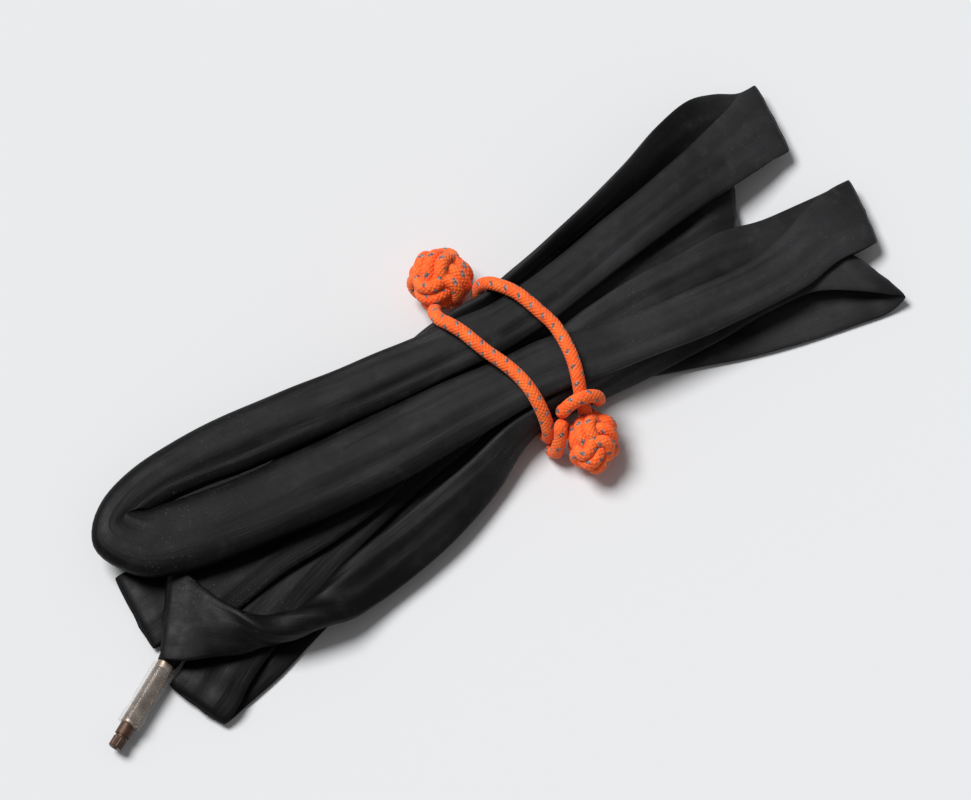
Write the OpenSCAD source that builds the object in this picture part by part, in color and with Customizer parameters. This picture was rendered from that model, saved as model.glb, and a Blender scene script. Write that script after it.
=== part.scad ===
// Folded road-bicycle inner tube: a flat butyl ring in eight runs, tied in the middle by an orange
// cord with a ball knot at each end, and a Presta valve in a clear sleeve.
// Frame: origin on the table at the middle of the bounding box. +X runs along the bundle away from
// the valve, +Z is up. Millimetres. The routes below are drawn from the tie's middle, then placed.

/* [Tube] */
// Thickness added to the rubber everywhere
rubber_extra = 0; // [0:0.05:0.1]
// Sides of the tube's cross-section
tube_sides = 16; // [12:2:18]
// Longest step between two cross-sections of the tube
tube_step = 7; // [6:1:10]

/* [Tie] */
// Diameter of the tie cord
cord_d = 4.6; // [4.2:0.1:4.6]
// Diameter of the upper ball knot
upper_ball_d = 21.6; // [20:0.2:21.6]
// Diameter of the lower ball knot across its waist
lower_ball_d = 18; // [17:0.2:18]

/* [Valve] */
// Outer diameter of the threaded stem
stem_d = 6; // [5.8:0.1:6]
// Diameter of the core's head, the pump seat
tip_d = 5.2; // [5:0.1:5.2]
// Diameter of the lock nut
nut_d = 4.6; // [4.4:0.1:4.6]
// Diameter of the plunger pin
pin_d = 1.4; // [1.2:0.1:1.5]
// Pitch of the stem's thread
thread_pitch = 0.8; // [0.8:0.1:1.2]
// How far the plunger can be pressed in
plunger_travel = 0.8; // [0.6:0.1:1]

/* [Hidden] */

rubber = "#26272a";
orange = "#ff5a1c";
metal = "#a79e8c";
bronze = "#4a3427";

// ---------- curves ----------
function pos(row) = [row[0], row[1], row[2]];
function wide(row) = let (v = [row[3], row[4], row[5]]) v / norm(v);

// Slope at point i of an open list, weighted by the distance to each neighbour.
function gap_at(p, i) = norm(pos(p[i + 1]) - pos(p[i]));
function slope(p, i) =
    i == 0 ? (p[1] - p[0]) / gap_at(p, 0)
    : i == len(p) - 1 ? (p[i] - p[i - 1]) / gap_at(p, i - 1)
    : let (a = gap_at(p, i - 1), b = gap_at(p, i))
      ((p[i] - p[i - 1]) / a * b + (p[i + 1] - p[i]) / b * a) / (a + b);
// Point and slope of the Hermite piece between rows i and i + 1.
function row_at(p, i, t) =
    let (d = gap_at(p, i), t2 = t * t, t3 = t2 * t)
    p[i] * (2 * t3 - 3 * t2 + 1) + slope(p, i) * d * (t3 - 2 * t2 + t)
    + p[i + 1] * (3 * t2 - 2 * t3) + slope(p, i + 1) * d * (t3 - t2);
function slope_at(p, i, t) =
    let (d = gap_at(p, i), t2 = t * t)
    (p[i + 1] - p[i]) * (6 * t - 6 * t2) / d
    + slope(p, i) * (3 * t2 - 4 * t + 1) + slope(p, i + 1) * (3 * t2 - 2 * t);

// Rows [row, slope] from control row a to control row b, with a step no longer than longest.
function stations(p, a, b, longest) = [
    for (i = [a : b - 1])
        let (n = max(2, ceil(gap_at(p, i) / longest)))
        for (k = [0 : n - (i == b - 1 ? 0 : 1)])
            [row_at(p, i, k / n), slope_at(p, i, k / n)]
];

// ---------- closed solids swept along stations ----------
module skin(rings) {
    n = len(rings[0]);
    last = len(rings) - 1;
    sides = [
        for (r = [0 : last - 1], k = [0 : n - 1])
            let (a = r * n + k, b = r * n + (k + 1) % n)
            each [[a, a + n, b + n], [a, b + n, b]]
    ];
    start = [for (k = [0 : n - 1]) k];
    end = [for (k = [0 : n - 1]) last * n + n - 1 - k];
    polyhedron(points = [for (ring = rings) each ring], faces = concat(sides, [start, end]));
}

// Flat rubber tube: an ellipse as wide as column 6 and as thick as column 7.
function tube_ring(station) =
    let (
        row = station[0],
        along = pos(station[1]),
        across = wide(row),
        up = cross(along, across) / norm(cross(along, across))
    ) [
        for (k = [0 : tube_sides - 1])
            let (angle = 360 * k / tube_sides)
            pos(row) + across * row[6] / 2 * cos(angle) + up * (row[7] + rubber_extra) / 2 * sin(angle)
    ];
module tube(a, b) color(rubber) skin([for (s = stations(RING, a, b, tube_step)) tube_ring(s)]);

// Round cord: side directions are carried along by a fixed guide direction for each route.
function cord_ring(station, guide, sides) =
    let (
        along = pos(station[1]),
        across = cross(along, guide) / norm(cross(along, guide)),
        up = cross(along, across) / norm(cross(along, across))
    ) [
        for (k = [0 : sides - 1])
            let (angle = 360 * k / sides)
            station[0] + (across * cos(angle) + up * sin(angle)) * cord_d / 2
    ];
module cord(route, guide, longest)
    color(orange)
    skin([for (s = stations(route, 0, len(route) - 1, longest)) cord_ring(s, guide, 8)]);

// ---------- the ring ----------
// Each row: x, y, z of the middle, the direction across the flat tube, width, thickness.
RING = [
    // row 0 steers the start and the last row steers the end; both repeat rows of the ring
    [-137, -23.6, 10.6, -0.5, -0.86, 0.05, 32, 2.2],
    // run 1 with its half twist
    [-131, -29.2, 10.8, -0.32, -0.94, 0, 25.5, 3.4],
    [-124, -36.4, 10.3, -0.18, -0.94, -0.28, 17, 5.6],
    [-114, -42.4, 9.8, 0, -0.3, -0.95, 9.6, 9.4],
    [-103, -45, 9.6, 0, 0.5, -0.86, 11, 8.8],
    [-90, -44, 8.8, 0, 0.95, -0.1, 16, 6],
    [-78, -42, 8.4, 0, 0.97, 0.2, 18, 4.6],
    [-60, -39, 8.5, 0, 0.96, 0.25, 18, 4],
    [-43, -35.3, 8.8, 0, 0.95, 0.3, 17, 4],
    [-25, -30, 9.4, 0, 0.8, 0.6, 15, 4.2],
    [-10, -24, 10.7, 0, 0.5, 0.86, 11.8, 4.2],
    [0, -22.4, 10.9, 0, 0.35, 0.94, 10.8, 4.2],
    [12, -22, 9.6, 0, 0.42, 0.9, 12.4, 4.2],
    [28, -21.2, 8.6, 0, 0.7, 0.7, 13.5, 4],
    [45, -20, 7.9, 0, 0.9, 0.4, 15.5, 3.4],
    [65, -19, 7.9, 0, 0.98, 0.15, 17.5, 3],
    [85, -18.5, 8, 0, 1, 0, 18.5, 2.6],
    [100, -19.2, 7.9, 0, 1, 0, 19.5, 2.3],
    [111, -25.5, 7.3, -0.12, 0.99, 0, 21, 2.1],
    // right low fold
    [117, -30.8, 6.6, -0.3, 0.95, 0, 22.8, 2],
    [121.4, -33.9, 4.3, -0.33, 0.94, 0, 23, 2],
    [118, -33.6, 1.95, -0.15, 0.99, 0, 24.4, 2],
    // run 2
    [108, -31.5, 1.35, 0, 1, 0, 25, 2.3],
    [87, -28, 1.3, 0, 1, 0, 25, 2.4],
    [70, -23.5, 1.4, 0, 1, 0, 25, 2.6],
    [54, -19, 1.8, 0, 1, 0, 24, 2.8],
    [38, -15, 3, 0, 1, 0, 22, 3.4],
    [22, -11.5, 5.2, 0, 1, 0, 19, 4],
    [8, -9, 7, 0, 1, 0, 17, 4.2],
    [0, -8.6, 7.2, 0, 1, 0, 16.5, 4.2],
    [-12, -10.5, 6.6, 0, 1, 0, 17.5, 4],
    [-30, -16, 3.6, 0, 1, 0, 20, 3.2],
    [-50, -22.5, 1.8, 0, 1, 0, 22, 2.6],
    [-75, -30, 1.3, 0, 1, 0, 23, 2.3],
    [-98, -36.8, 1.2, 0, 1, 0, 23.5, 2.2],
    [-120, -43, 1.2, -0.15, 0.98, 0, 24, 2.2],
    [-136, -47.5, 1.2, -0.3, 0.95, 0, 23, 2.2],
    // left front fold
    [-143, -49.4, 1.4, -0.36, 0.93, 0, 22.6, 2],
    [-146.6, -50.3, 2.9, -0.39, 0.92, 0, 22.6, 2],
    [-143, -49.2, 4.4, -0.39, 0.92, 0, 22.6, 2],
    // run 3
    [-134, -43.5, 4.6, -0.38, 0.92, 0, 23, 2.1],
    [-118, -35, 4, -0.3, 0.95, 0, 23, 2.1],
    [-100, -28.5, 3.7, -0.2, 0.98, 0, 21, 2.2],
    [-80, -22.5, 3.9, -0.1, 1, 0, 19, 2.3],
    [-60, -17.5, 4.6, 0, 1, 0, 18, 2.6],
    [-40, -13.2, 6.6, 0, 1, 0, 17, 3],
    [-22, -10.6, 9.2, 0, 1, 0, 16, 3.4],
    [-8, -8.6, 11.6, 0, 1, 0, 15, 3.8],
    [0, -8, 12, 0, 1, 0, 15, 4],
    [12, -7.6, 11.8, 0, 1, 0, 15.5, 3.8],
    [30, -5.6, 10.6, 0, 0.98, 0.2, 17, 3.4],
    [50, -4.2, 9, 0, 0.97, 0.24, 17, 3],
    [65, -4.2, 7.7, 0, 0.98, 0.2, 18, 2.6],
    [82, -5, 6.9, 0, 0.98, 0.18, 20, 2.3],
    [98, -8.4, 6, 0, 0.99, 0.12, 20.5, 2.1],
    [112, -10.6, 5, 0.05, 1, 0.03, 23, 2],
    // right middle fold
    [123, -11.4, 4.6, 0.12, 0.99, 0, 24.4, 1.9],
    [128, -11.9, 6.4, 0.14, 0.99, 0, 24.6, 1.9],
    [123, -12.2, 8.2, 0.13, 0.99, 0, 24.4, 1.9],
    // run 4
    [112, -13.4, 10, 0.05, 1, 0, 21.6, 2.4],
    [98, -17.5, 11.4, 0, 1, 0, 19, 3.6],
    [82, -19, 12.8, 0, 1, 0, 17, 4.4],
    [65, -18.3, 13.8, 0, 1, 0, 16.5, 4.8],
    [45, -16.5, 15, 0, 1, 0, 16.5, 4.8],
    [26, -14, 16.4, 0, 1, 0, 17.5, 4.8],
    [10, -10.8, 17.3, 0, 1, 0, 18.8, 4.8],
    [0, -10.2, 17.4, 0, 1, 0, 19.2, 4.8],
    [-12, -9.8, 17.4, 0, 1, 0, 20.4, 5],
    [-30, -9, 16.6, 0, 1, 0, 22.5, 6],
    [-48, -8.6, 15.5, 0, 1, 0, 24.5, 7],
    [-70, -7.4, 14.2, 0, 1, 0, 25.5, 8],
    [-90, -5.6, 13.4, 0, 1, 0, 25, 8.6],
    [-108, -3.6, 13, 0.05, 1, 0, 25.2, 9],
    // left top loop
    [-124, -0.6, 12.8, 0.25, 0.97, 0, 24.8, 9],
    [-136.6, 4.8, 12.5, 0.62, 0.78, 0, 23, 9],
    [-141.2, 13, 12.3, 0.98, 0.2, 0, 19.6, 9],
    [-134.4, 17.3, 12.4, 0.75, -0.66, 0, 17.4, 9],
    [-125, 19.7, 12.6, 0.35, -0.94, 0, 16.8, 9],
    // run 5
    [-111, 20, 13, 0.08, -1, 0, 18.4, 9],
    [-92, 18.5, 13.4, 0, -1, 0, 20.4, 8.8],
    [-72, 16.4, 14.2, 0, -1, 0, 20, 8.2],
    [-50, 13.8, 15.4, 0, -1, 0, 19.4, 7.2],
    [-30, 11.8, 16.6, 0, -1, 0, 18, 6],
    [-12, 10.3, 17.3, 0, -1, 0, 17.6, 5],
    [0, 9.3, 17.4, 0, -1, 0, 17, 4.8],
    [12, 10, 17.2, 0, -1, 0, 16.5, 4.8],
    [30, 13, 16.2, 0, -1, 0, 16.5, 4.8],
    [48, 16.8, 15, 0, -1, 0, 17, 4.8],
    [65, 20, 14, 0, -1, 0, 17.5, 4.6],
    [80, 23, 13, 0, -1, 0, 19, 4.2],
    [96, 26.5, 11, 0, -1, 0, 21.5, 3.4],
    [107, 29.2, 9, -0.03, -1, 0, 24, 2.6],
    // right top fold
    [113.6, 31.2, 7.6, -0.07, -0.99, 0, 26, 2.1],
    [118.8, 31.8, 6, -0.09, -0.99, 0, 26.2, 2],
    [113.6, 32.4, 4.4, -0.07, -0.99, 0, 26, 2],
    // run 6
    [106, 36, 4.9, 0, -0.95, -0.3, 25, 2.1],
    [96, 38, 8.4, 0, -0.8, -0.6, 25, 2.2],
    [82, 36.5, 9.8, 0, -0.62, -0.78, 24, 2.4],
    [65, 32.2, 9.8, 0, -0.5, -0.86, 22, 2.8],
    [50, 28.8, 9.9, 0, -0.42, -0.9, 19.6, 3.2],
    [32, 25.2, 9.9, 0, -0.35, -0.94, 17.6, 3.6],
    [15, 22.4, 9.7, 0, -0.25, -0.97, 14.4, 4],
    [4, 20.8, 10.7, 0, -0.2, -0.98, 12, 4],
    [-6, 19.8, 10.7, 0, -0.4, -0.92, 12.2, 4],
    [-18, 17, 11.2, 0, -0.8, -0.6, 13, 3.8],
    [-35, 10.6, 7.8, 0, -1, -0.14, 18, 3.2],
    [-60, 5, 5, 0, -1, -0.05, 20.5, 2.6],
    [-90, -1.8, 3.9, 0, -1, 0, 21.5, 2.3],
    [-120, -9, 3.7, 0, -1, 0, 24, 2.1],
    [-138, -12.4, 3.7, 0, -1, 0, 25.6, 2],
    // left back fold
    [-144.4, -12.6, 3.6, -0.02, -1, 0, 27, 1.8],
    [-148.8, -12.7, 2.3, -0.03, -1, 0, 27.6, 1.8],
    [-144.4, -12.8, 1.15, -0.02, -1, 0, 27, 1.8],
    // run 7
    [-135, -12.4, 1.15, 0, -1, 0, 25.6, 1.9],
    [-110, -7.4, 1.1, 0, -1, 0, 23.4, 2.1],
    [-80, -1.6, 1.2, 0, -1, 0, 21.5, 2.3],
    [-50, 4, 1.6, 0, -1, 0, 19.5, 2.6],
    [-28, 6.4, 3.2, 0, -1, 0, 16.4, 3.2],
    [-10, 7.4, 6.5, 0, -1, 0, 14, 4],
    [0, 7.8, 7.2, 0, -1, 0, 15.5, 4.2],
    [12, 8, 6.6, 0, -1, 0, 16, 4],
    [30, 9.5, 4, 0, -1, 0, 17, 3.6],
    [50, 11.5, 2.2, 0, -1, 0, 18, 3.2],
    [70, 12.8, 1.7, 0, -1, 0, 19.5, 2.8],
    // right inner loop
    [84, 13.3, 1.9, -0.3, -0.95, 0, 20, 2.6],
    [92.5, 13.2, 4.6, -0.45, -0.89, 0, 21, 2.6],
    [84, 13.3, 7.3, -0.3, -0.95, 0, 20, 2.6],
    // run 8
    [70, 12.8, 7.4, 0, -1, 0, 19.5, 2.8],
    [50, 11.5, 7.8, 0, -1, 0, 18, 3.2],
    [30, 9.5, 9.4, 0, -1, 0, 16.5, 3.6],
    [12, 7.8, 11.8, 0, -1, 0, 15, 4],
    [0, 7.6, 12.1, 0, -1, 0, 15, 4],
    [-10, 6.8, 12.1, 0, -1, 0, 15, 3.8],
    [-22, 2, 12.2, 0, -1, 0, 15.6, 3.4],
    [-40, -6, 10.6, 0, -1, 0, 18, 3.2],
    [-60, -12.5, 8.8, 0, -1, 0, 20, 2.8],
    [-80, -15, 7.3, 0, -1, 0, 21, 2.6],
    [-100, -15.5, 6.6, 0, -1, 0, 22, 2.4],
    [-118, -18, 6.3, -0.15, -0.98, 0.02, 24, 2.2],
    [-131, -20.2, 6.8, -0.38, -0.91, 0.1, 27, 2.1],
    // left valve fold, lower layer and crease
    [-137, -19.4, 7.4, -0.52, -0.85, 0.13, 30.5, 2],
    // its crease and upper layer
    [-141, -19.8, 8.8, -0.56, -0.82, 0.1, 32, 2],
    [-137, -23.6, 10.6, -0.5, -0.86, 0.05, 32, 2.2],
    [-131, -29.2, 10.8, -0.32, -0.94, 0, 25.5, 3.4],
    [-124, -36.4, 10.3, -0.18, -0.94, -0.28, 17, 5.6],
];

// Control rows at which one stretch of the ring ends and the next begins.
CUTS = [1, 19, 22, 37, 40, 56, 59, 73, 78, 92, 95, 110, 113, 124, 127, 139, 143];

// ---------- the tie ----------
// Middle of the cord: from the upper ball, over the bundle, under it, over it again, to the lower ball.
TIE = [
    [-11.4, 29.2, 10.4],
    [-12.8, 27, 12.2],
    [-14.5, 24.7, 16.3],
    [-14.8, 20.4, 20.1],
    [-13.2, 16.8, 22],
    [-11, 12.1, 22.5],
    [-9.2, 6.8, 22.6],
    [-7.4, 2, 22.4],
    [-4.9, -3.8, 22.4],
    [-2.7, -10.6, 22.4],
    [-1.8, -16.1, 22],
    [-1.5, -21.4, 19.8],
    [-1.5, -25.4, 16],
    [-1.8, -28.3, 11.4],
    [-2.1, -28.6, 6.4],
    [-2.2, -25.4, 3.1],
    [-2.2, -20, 2.5],
    [-0.8, -10, 2.5],
    [0.8, 4, 2.5],
    [2, 15, 2.6],
    [2.6, 21.5, 2.9],
    [2.6, 25.2, 6.6],
    [2.5, 25.5, 11],
    [3.6, 25.7, 15.1],
    [5.8, 24, 18.4],
    [8.4, 20.4, 20.6],
    [11.2, 15.6, 21.9],
    [13.2, 10.2, 22.3],
    [14.8, 5, 22.2],
    [16.2, 0.2, 22],
    [16.5, -5, 22.1],
    [16.2, -10, 22.2],
    [15.3, -15.4, 22],
    [13.9, -20.3, 20.6],
    [12.7, -24, 18],
    [12, -27, 15.6],
    [11.4, -30, 12.6],
];
// Two turns of the hitch beside the lower ball: across the second pass, and beside the first.
WRAP_UPPER = [
    [5.2, -25.8, 15.4],
    [4.4, -26.6, 17],
    [7.4, -26.6, 20],
    [11.4, -27, 21.6],
    [14.8, -27.6, 20.2],
    [17, -28.2, 17.2],
    [17.2, -28.4, 14.6],
];
WRAP_LOWER = [
    [2.8, -29.2, 12.4],
    [1.6, -30.3, 15.2],
    [0.4, -32.4, 13],
    [-1.6, -34, 9],
    [-2.4, -34, 4.8],
    [-2.8, -31.6, 2.6],
];
UPPER_BALL = [-6.1, 35.6, upper_ball_d / 2];
LOWER_BALL = [9.4, -38.1, lower_ball_d / 2];
// The lower ball is longer than it is wide; its long axis points this way on the table.
LOWER_BALL_AZ = 60;
LOWER_BALL_STRETCH = 1.3;

module tie_cord() cord(TIE, [1, 0.1, 0], 5);
module hitch_wrap_upper() cord(WRAP_UPPER, [0, 1, 0], 4);
module hitch_wrap_lower() cord(WRAP_LOWER, [1, 0, 0], 4);

// Half an egg's outline, turned about its long axis: d across, stretch times d long.
BALL_FACETS = 24;
module ball(d, stretch)
    rotate_extrude($fn = 64) polygon([
        for (i = [0 : BALL_FACETS])
            let (a = 180 * i / BALL_FACETS - 90)
            [i == 0 || i == BALL_FACETS ? 0 : cos(a) * d / 2, sin(a) * d / 2 * stretch]
    ]);

// A ball knot, its long axis at azimuth az, with a pocket where the cord's end runs in.
module ball_knot(at, d, az, stretch, inner, outer) {
    way = outer - inner;
    color(orange) difference() {
        translate(at) rotate([0, 90, az]) ball(d, stretch);
        translate(inner - way * 0.05)
            rotate([0, acos(way[2] / norm(way)), atan2(way[1], way[0])])
            cylinder(h = 12, d = cord_d + 1, $fn = 32);
    }
}
module upper_ball_knot() ball_knot(UPPER_BALL, upper_ball_d, 0, 1, TIE[0], TIE[1]);
module lower_ball_knot() {
    end = len(TIE) - 1;
    ball_knot(LOWER_BALL, lower_ball_d, LOWER_BALL_AZ, LOWER_BALL_STRETCH, TIE[end], TIE[end - 1]);
}

// ---------- the valve ----------
// The valve's own frame: z runs out along the stem from where it leaves the rubber.
VALVE_AT = [-147.4, -33, 4.6];
VALVE_AZ = 210;
module valve_frame() translate(VALVE_AT) rotate([0, 0, VALVE_AZ]) rotate([0, 90, 0]) children();

stem_r = stem_d / 2;
tip_r = tip_d / 2;
pin_r = pin_d / 2;
stem_end = 26;
foot_r = 3;
foot_from = -5;
foot_to = -3.9;
root_r = 2.4;
bore_r = 1.9;
core_from = 12;
core_r = 1.85;
groove_from = core_from + 6;
groove_to = core_from + 7.5;
groove_r = 1.35;
head_end = 30;
recess_r = 2.1;
collar_r = 2;
pin_gap = 0.05;
seal_r = 1.5;
seal_h = 2;
nut_gap = plunger_travel + 0.05;
nut_from = head_end + nut_gap;
nut_h = 3.8;
thread_from = 4;
thread_depth = 0.3;
sleeve_bore_r = stem_r + 0.08;
sleeve_end = stem_end - 0.2;
base_r = 3.6;
base_end = 1.6;
snug = 0.02;

module turned(points) rotate_extrude($fn = 64) polygon(points);

module valve_base()
    color(rubber) valve_frame()
    turned([
        [root_r + snug, foot_to + snug], [foot_r + snug, foot_to + snug],
        [foot_r + snug, foot_from], [base_r, foot_from], [base_r, 0],
        [base_r - 0.3, base_end], [root_r + snug, base_end]
    ]);

module valve_stem() {
    crests = floor((stem_end - 1 - thread_from) / thread_pitch);
    grooves = [
        for (i = [0 : crests - 1])
            let (z = thread_from + i * thread_pitch)
            each [
                [stem_r, z], [stem_r - thread_depth, z + thread_pitch / 2],
                [stem_r, z + thread_pitch * 0.98]
            ]
    ];
    color(metal) valve_frame() turned(concat(
        [[bore_r, foot_from], [foot_r, foot_from], [foot_r, foot_to], [root_r, foot_to]],
        [[root_r, base_end + snug], [stem_r, base_end + 0.3]],
        grooves,
        [[stem_r, stem_end - 0.4], [stem_r - 0.4, stem_end], [bore_r, stem_end]]
    ));
}

// The removable core: its shank fills the stem's bore, and its head stands on the stem's end.
module valve_core()
    color(bronze) valve_frame()
    turned([
        [pin_r + pin_gap, core_from], [core_r, core_from], [core_r, groove_from],
        [groove_r, groove_from], [groove_r, groove_to], [core_r, groove_to],
        [core_r, stem_end + snug], [tip_r, stem_end + snug], [tip_r, head_end],
        [recess_r, head_end], [recess_r, head_end - nut_gap], [pin_r + pin_gap, head_end - nut_gap]
    ]);

module core_gasket()
    color("white") valve_frame()
    turned([
        [groove_r + snug, groove_from + snug], [core_r, groove_from + snug],
        [core_r, groove_to - snug], [groove_r + snug, groove_to - snug]
    ]);

// The pin's collar under the nut runs into the recess in the core's head when it is pressed.
module plunger_pin()
    color(bronze) valve_frame() {
        translate([0, 0, core_from - 1 - seal_h])
            cylinder(h = nut_from + nut_h + 0.3 - core_from + 1 + seal_h, r = pin_r, $fn = 32);
        translate([0, 0, head_end]) cylinder(h = nut_gap, r = collar_r, $fn = 48);
    }

module plunger_seal()
    color(rubber) valve_frame() translate([0, 0, core_from - 1 - seal_h])
    turned([[pin_r, 0], [seal_r, 0], [seal_r, seal_h], [seal_r - 0.4, seal_h + 0.9], [pin_r, seal_h + 0.9]]);

module lock_nut()
    color(bronze) valve_frame() translate([0, 0, nut_from])
    difference() {
        cylinder(h = nut_h, d = nut_d, $fn = 48);
        translate([0, 0, -1]) cylinder(h = nut_h + 2, r = pin_r + pin_gap, $fn = 32);
    }

// Clear sleeve: straight skirt, narrow waist, flared end.
module valve_sleeve()
    color([0.9, 0.92, 0.93, 0.4]) valve_frame()
    turned([
        [sleeve_bore_r, 3.2], [4.1, 3.2], [3.9, 16], [3.6, 16.8], [3.6, 20.6],
        [4.1, 21.6], [3.9, sleeve_end], [sleeve_bore_r, sleeve_end]
    ]);

// ---------- the assembly ----------
// Moves everything from the tie's frame to the part's frame.
MIDDLE = [24.35, 6.2, 0];
module placed() translate(MIDDLE) children();

placed() tube(CUTS[0], CUTS[1]);  // run_1
placed() tube(CUTS[1], CUTS[2]);  // fold_right_low
placed() tube(CUTS[2], CUTS[3]);  // run_2
placed() tube(CUTS[3], CUTS[4]);  // fold_left_front
placed() tube(CUTS[4], CUTS[5]);  // run_3
placed() tube(CUTS[5], CUTS[6]);  // fold_right_middle
placed() tube(CUTS[6], CUTS[7]);  // run_4
placed() tube(CUTS[7], CUTS[8]);  // loop_left_top
placed() tube(CUTS[8], CUTS[9]);  // run_5
placed() tube(CUTS[9], CUTS[10]);  // fold_right_top
placed() tube(CUTS[10], CUTS[11]);  // run_6
placed() tube(CUTS[11], CUTS[12]);  // fold_left_back
placed() tube(CUTS[12], CUTS[13]);  // run_7
placed() tube(CUTS[13], CUTS[14]);  // loop_right_inner
placed() tube(CUTS[14], CUTS[15]);  // run_8
placed() tube(CUTS[15], CUTS[16]);  // fold_left_valve
placed() tie_cord();
placed() hitch_wrap_upper();
placed() hitch_wrap_lower();
placed() upper_ball_knot();
placed() lower_ball_knot();
placed() valve_base();
placed() valve_stem();
placed() valve_core();
placed() core_gasket();
placed() plunger_pin();
placed() plunger_seal();
placed() lock_nut();
placed() valve_sleeve();
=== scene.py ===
"""Folded bicycle inner tube tied with a thick orange cord.

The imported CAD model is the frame. This script gives it its looks: one detailed rubber ring in
place of the sixteen plain stretches, braided cord and ball knots, a knurled lock nut, and the
materials of the valve. Lengths are in millimetres and are scaled by MM where a mesh is made.
"""
import math

import bpy
import numpy as np
from mathutils import Matrix, Vector


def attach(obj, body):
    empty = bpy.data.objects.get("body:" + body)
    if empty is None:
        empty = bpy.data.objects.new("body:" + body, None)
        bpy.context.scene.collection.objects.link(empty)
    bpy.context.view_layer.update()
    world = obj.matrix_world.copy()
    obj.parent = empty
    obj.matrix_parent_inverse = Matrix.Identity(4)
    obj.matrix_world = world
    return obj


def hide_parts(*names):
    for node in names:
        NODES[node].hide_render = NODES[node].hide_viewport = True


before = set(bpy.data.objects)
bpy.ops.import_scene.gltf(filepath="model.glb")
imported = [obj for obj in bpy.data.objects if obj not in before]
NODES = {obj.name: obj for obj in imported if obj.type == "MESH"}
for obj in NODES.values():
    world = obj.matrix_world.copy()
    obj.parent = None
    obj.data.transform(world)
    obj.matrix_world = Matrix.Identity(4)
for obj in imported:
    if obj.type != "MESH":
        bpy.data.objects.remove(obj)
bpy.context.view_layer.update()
MM = 0.001

# ---------- driving dimensions, as in the CAD ----------
MIDDLE = np.array([24.35, 6.2, 0.0])  # from the tie's middle, where the routes are drawn, to the origin
CORD_D = 4.6
UPPER_BALL = np.array([-6.1, 35.6, 10.8])
UPPER_BALL_D = 22.6
LOWER_BALL = np.array([9.4, -38.1, 9.3])
LOWER_BALL_D = 18.4
LOWER_BALL_STRETCH = 1.3
VALVE_AT = np.array([-147.4, -33.0, 4.6])
VALVE_AZ = math.radians(210)
NUT_R = 2.3
NUT_FROM = 30.85
NUT_H = 3.8
PIN_R = 0.7

# ---------- the view ----------
VIEW_AZ = math.radians(330)
VIEW_EL = math.radians(70)
VIEW_DISTANCE = 3000.0
PIXELS_PER_MM = 3.03
IMAGE_W = 971
RIGHT = np.array([math.cos(VIEW_AZ), math.sin(VIEW_AZ), 0.0])
AWAY = np.array([-math.sin(VIEW_AZ), math.cos(VIEW_AZ), 0.0])
UP = AWAY * math.sin(VIEW_EL) + np.array([0, 0, 1.0]) * math.cos(VIEW_EL)
BACK = -AWAY * math.cos(VIEW_EL) + np.array([0, 0, 1.0]) * math.sin(VIEW_EL)
AIM = MIDDLE - RIGHT * 8.1 - UP * 9.9

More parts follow.
